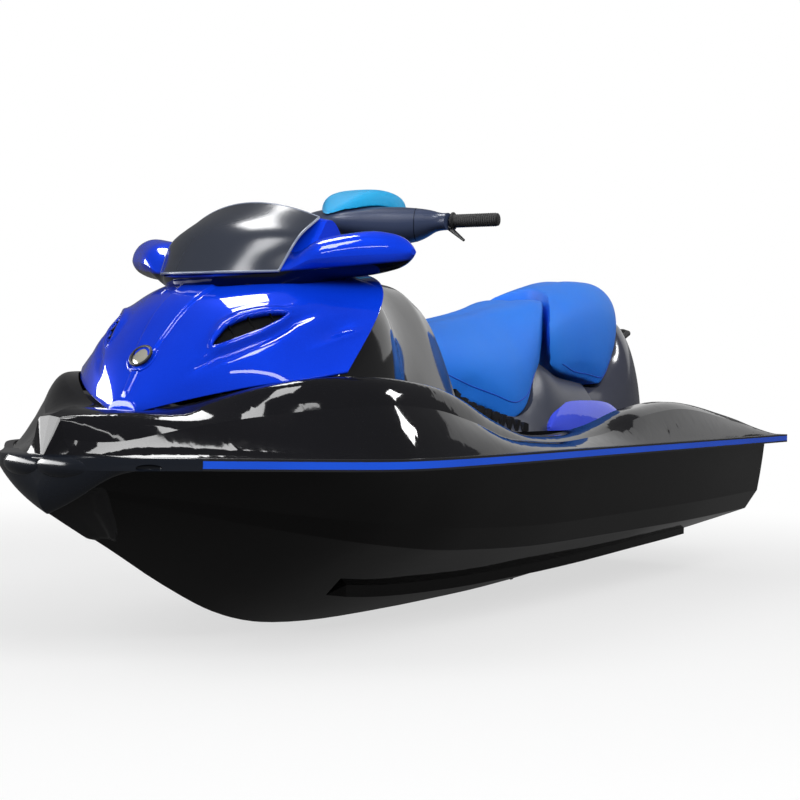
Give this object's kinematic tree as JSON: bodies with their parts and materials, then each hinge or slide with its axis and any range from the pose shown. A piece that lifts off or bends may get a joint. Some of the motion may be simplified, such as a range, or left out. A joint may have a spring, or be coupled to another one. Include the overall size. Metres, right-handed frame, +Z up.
{
  "type": "sit-down personal watercraft",
  "caption": "Sit-down personal watercraft: vee hull and moulded deck with a lifting hood, mirror pods, tilted handlebar, two-piece saddle and a water-jet drive with reverse bucket.",
  "frame": {"origin": "on the waterline amidships, on the centre plane, one draft above the lowest keel", "axes": "+X towards the bow, +Y to port, +Z up"},
  "size_m": [2.9901, 1.216, 1.1424],
  "materials": {
    "accent_paint": "gloss",
    "badge_chrome": "polished",
    "bar_metal": "satin black",
    "bin_plastic": "matte",
    "bumper_rubber": "gloss",
    "console_gloss": "gloss",
    "deck_gelcoat": "gloss",
    "engine_iron": "cast",
    "eye_steel": "polished",
    "gate_aluminium": "cast",
    "grate_aluminium": "satin",
    "grille_plastic": "matte",
    "grip_rubber": "ribbed",
    "handle_plastic": "matte",
    "hood_paint": "metallic gloss",
    "housing_plastic": "satin",
    "hull_gelcoat": "gloss",
    "impeller_steel": "polished",
    "insert_strip": "gloss",
    "lever_metal": "satin black",
    "louvre_plastic": "satin",
    "mirror_glass": "mirror",
    "nozzle_aluminium": "cast",
    "pad_vinyl": "soft vinyl",
    "pedestal_plastic": "satin",
    "plate_aluminium": "satin",
    "pump_aluminium": "cast",
    "rail_rubber": "satin",
    "seat_vinyl": "soft vinyl",
    "stem_plastic": "matte",
    "tail_gloss": "gloss",
    "traction_mat": "ribbed",
    "visor_gloss": "gloss"
  },
  "bodies": {
    "craft": {"accent_port": "accent_paint", "accent_starboard": "accent_paint", "bow_bumper": "bumper_rubber", "console": "console_gloss", "deck": "deck_gelcoat", "engine_block": "engine_iron", "grab_handle": "handle_plastic", "hull": "hull_gelcoat", "insert_port": "insert_strip", "insert_starboard": "insert_strip", "insert_stern": "insert_strip", "intake_grate": "grate_aluminium", "louvre_port": "louvre_plastic", "louvre_starboard": "louvre_plastic", "mat_port": "traction_mat", "mat_starboard": "traction_mat", "platform_mat": "traction_mat", "pump_housing": "pump_aluminium", "rail_port": "rail_rubber", "rail_starboard": "rail_rubber", "rail_stern": "rail_rubber", "ride_plate": "plate_aluminium", "seat_front": "seat_vinyl", "seat_pedestal": "pedestal_plastic", "seat_rear": "seat_vinyl", "seat_tail": "tail_gloss", "stator": "pump_aluminium", "stern_eye_port": "eye_steel", "stern_eye_starboard": "eye_steel", "storage_bin": "bin_plastic"},
    "hood": {"hood_shell": "hood_paint", "mirror_cowl": "hood_paint", "visor": "visor_gloss", "badge": "badge_chrome", "grille_port": "grille_plastic", "grille_starboard": "grille_plastic", "mirror_port": "mirror_glass", "mirror_starboard": "mirror_glass"},
    "steering": {"steering_stem": "stem_plastic", "handlebar": "bar_metal", "bar_housing": "housing_plastic", "bar_pad": "pad_vinyl", "grip_port": "grip_rubber", "grip_starboard": "grip_rubber", "lever_port": "lever_metal", "lever_starboard": "lever_metal"},
    "jet_nozzle": {"nozzle": "nozzle_aluminium"},
    "reverse_bucket": {"reverse_gate": "gate_aluminium"},
    "drive": {"impeller": "impeller_steel"}
  },
  "joints": [
    {"name": "steer", "type": "hinge", "parent": "craft", "child": "steering", "pos_m": [0.3, 0, 0.815], "axis": [-0.454, 0, 0.891], "range_deg": [-24, 24]},
    {"name": "nozzle_turn", "type": "hinge", "parent": "craft", "child": "jet_nozzle", "pos_m": [-1.4, 0, -0.085], "axis": [0, 0, 1], "range_deg": [-20, 20]},
    {"name": "bucket", "type": "hinge", "parent": "craft", "child": "reverse_bucket", "pos_m": [-1.406, 0, -0.085], "axis": [0, -1, 0], "range_deg": [0, 58]},
    {"name": "impeller_spin", "type": "hinge", "parent": "craft", "child": "drive", "pos_m": [-1.115, 0, -0.085], "axis": [1, 0, 0], "continuous": true},
    {"name": "hood_lift", "type": "hinge", "parent": "craft", "child": "hood", "pos_m": [1.197, 0, 0.313], "axis": [0, 1, 0], "range_deg": [0, 50]}
  ],
  "couplings": [
    {"joint": "nozzle_turn", "follows": "steer", "ratio": -0.8333}
  ]
}
